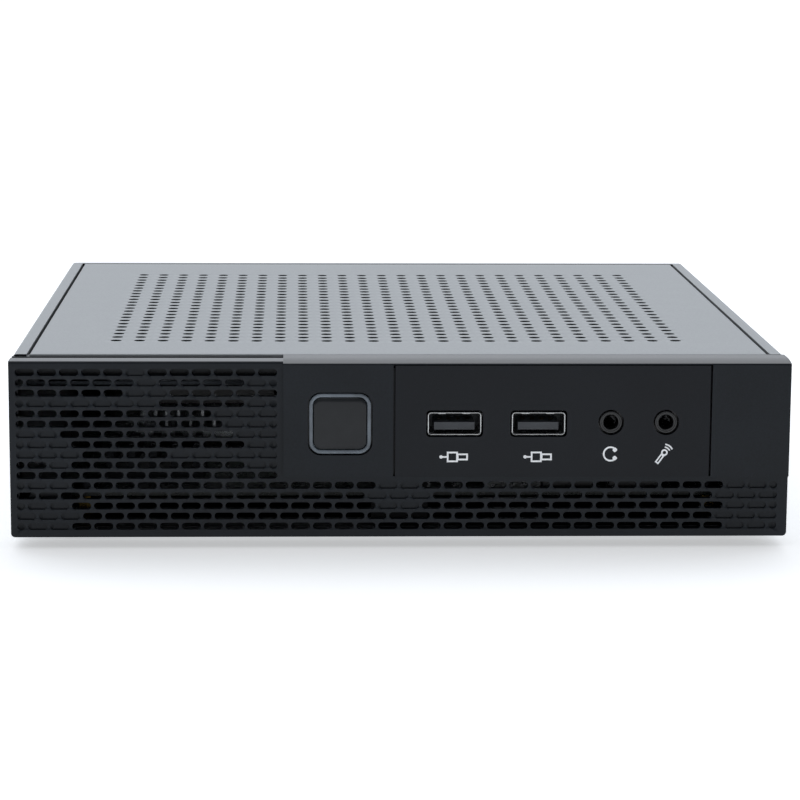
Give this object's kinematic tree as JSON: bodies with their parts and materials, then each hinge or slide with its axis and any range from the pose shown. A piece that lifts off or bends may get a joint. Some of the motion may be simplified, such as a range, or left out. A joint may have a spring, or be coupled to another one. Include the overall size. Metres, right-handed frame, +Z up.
{
  "type": "mini pc",
  "caption": "Compact desktop computer in a low silver sheet-metal case with a perforated top and a black slotted front with power button, USB sockets and audio jacks.",
  "frame": {"origin": "bottom centre of the whole, on the surface that the rubber feet stand on, midway between the front of the raised block and the rear wall", "axes": "+Z up, +Y from the front towards the rear, +X to the right seen from the front"},
  "size_m": [0.19, 0.1934, 0.0466],
  "materials": {
    "silver_coated_steel": "fine satin silver powder coat on folded steel",
    "black_textured_plastic": "fine spark-textured black ABS",
    "port_plate_plastic": "fine spark-textured black ABS insert",
    "bright_tin_steel": "bright tin-plated stamped steel",
    "grey_socket_plastic": "glass-filled grey thermoplastic",
    "black_socket_plastic": "glossy black thermoplastic",
    "gold_contacts": "gold-flashed phosphor bronze",
    "green_circuit_board": "solder mask over glass epoxy",
    "smoked_acrylic": "smoked acrylic button centre",
    "grey_light_guide": "translucent grey light ring",
    "black_moulded_plastic": "moulded black plastic",
    "spring_steel": "drawn spring wire",
    "zinc_screw_steel": "bright zinc-plated steel screws",
    "black_screw_steel": "black zinc-plated steel screws",
    "ivory_plastic": "moulded ivory nylon",
    "white_print": "pad-printed white ink",
    "led_lens": "clear cast epoxy lens",
    "brass_standoff": "turned brass",
    "nickel_lid": "nickel-plated copper lid",
    "raw_aluminium": "bare extruded aluminium",
    "component_metal": "drawn aluminium cans and ferrite blocks",
    "drive_case": "dark anodised aluminium",
    "black_rubber": "soft black rubber",
    "black_cable": "black PVC cable sheath"
  },
  "bodies": {
    "root": {"base_tray": "silver_coated_steel", "top_cover": "silver_coated_steel", "cover_screws": "zinc_screw_steel", "rubber_feet": "black_rubber", "front_bezel": "black_textured_plastic", "bezel_screws": "black_screw_steel", "port_plate": "port_plate_plastic", "port_marks": "white_print", "front_usb_shells": "bright_tin_steel", "front_usb_tongues": "grey_socket_plastic", "front_usb_contacts": "gold_contacts", "headphone_jack": "black_socket_plastic", "microphone_jack": "black_socket_plastic", "front_port_board": "green_circuit_board", "port_board_screws": "zinc_screw_steel", "switch_bracket": "black_moulded_plastic", "switch_body": "black_moulded_plastic", "switch_board": "green_circuit_board", "indicator_led": "led_lens", "mainboard": "green_circuit_board", "board_standoffs": "brass_standoff", "board_screws": "zinc_screw_steel", "cpu_socket": "ivory_plastic", "cpu_package": "nickel_lid", "cooler_heatsink": "raw_aluminium", "cooler_screws": "zinc_screw_steel", "fan_frame": "black_moulded_plastic", "fan_screws": "black_screw_steel", "chipset_heatsink": "raw_aluminium", "board_chokes": "component_metal", "board_capacitors": "component_metal", "pin_headers": "black_moulded_plastic", "header_pins": "gold_contacts", "memory_sockets": "black_moulded_plastic", "memory_modules": "green_circuit_board", "wireless_card": "green_circuit_board", "coin_cell_holder": "black_moulded_plastic", "coin_cell": "nickel_lid", "storage_drive": "drive_case", "drive_bracket": "drive_case", "drive_screws": "black_screw_steel", "io_shield": "bright_tin_steel", "rear_usb_shells": "bright_tin_steel", "rear_usb_tongues": "black_moulded_plastic", "network_jack": "bright_tin_steel", "video_shells": "bright_tin_steel", "video_tongues": "black_moulded_plastic", "power_jack": "black_moulded_plastic", "rear_audio_jacks": "black_socket_plastic", "front_usb_cable": "black_cable", "front_audio_cable": "black_cable", "switch_cable": "black_cable", "fan_cable": "black_cable", "drive_cable": "black_cable"},
    "power_button": {"button_cap": "smoked_acrylic", "button_light_ring": "grey_light_guide", "button_carrier": "black_moulded_plastic", "button_spring": "spring_steel", "switch_plunger": "ivory_plastic"},
    "fan": {"fan_rotor": "black_moulded_plastic"}
  },
  "joints": [
    {"name": "power_button_press", "type": "slide", "parent": "root", "child": "power_button", "axis": [0, 1, 0], "range_m": [0, 0.001], "stiffness_N_per_m": 400, "springref_m": -0.002},
    {"name": "fan_spin", "type": "hinge", "parent": "root", "child": "fan", "pos_m": [-0.03, 0.01436, 0.028], "axis": [0, 0, 1], "continuous": true}
  ]
}
